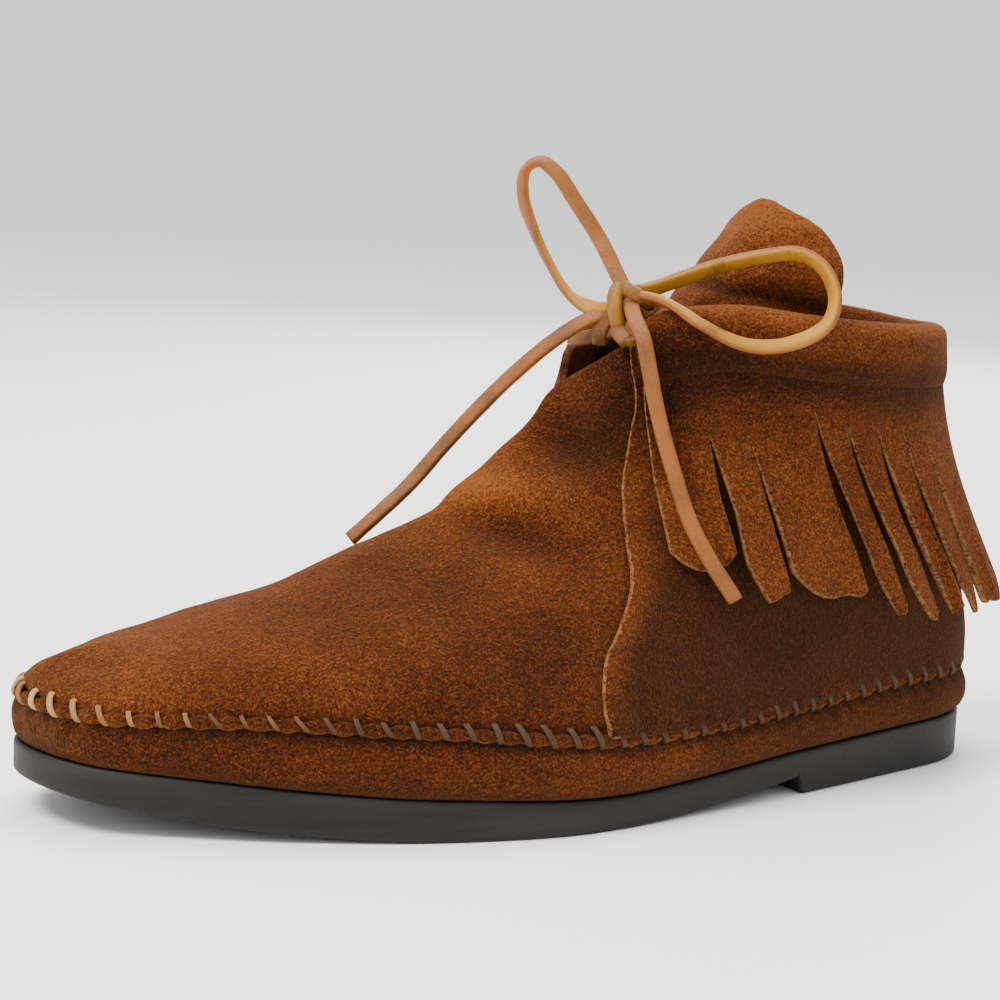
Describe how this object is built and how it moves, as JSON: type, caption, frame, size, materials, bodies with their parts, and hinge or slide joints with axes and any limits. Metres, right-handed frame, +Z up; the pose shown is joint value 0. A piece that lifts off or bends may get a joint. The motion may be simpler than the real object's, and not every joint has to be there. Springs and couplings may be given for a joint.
{
  "type": "moccasin boot",
  "caption": "Left suede moccasin boot with a whipstitched wrap, rolled fringe cuff, tied thong and flat rubber sole.",
  "frame": {"origin": "on the ground, under the middle of the boot's own box without the tied thong", "axes": "+X towards the toe, +Y towards the outer side of the left foot, +Z up"},
  "size_m": [0.2582, 0.0928, 0.1489],
  "materials": {
    "rubber": "matte, dark grey",
    "lining": "smooth, dull",
    "suede": "short nap, rust brown",
    "rawhide": "smooth tan face, ochre flesh side"
  },
  "bodies": {
    "root": {"outsole": "rubber", "insole": "lining", "upper": "suede", "quarter": "suede", "tongue": "suede", "collar_fringe": "suede", "lace_bar": "rawhide", "lace_knot": "rawhide", "lace_loop_outer": "rawhide", "lace_loop_inner": "rawhide", "lace_end_outer": "rawhide", "lace_end_inner": "rawhide"}
  },
  "joints": []
}
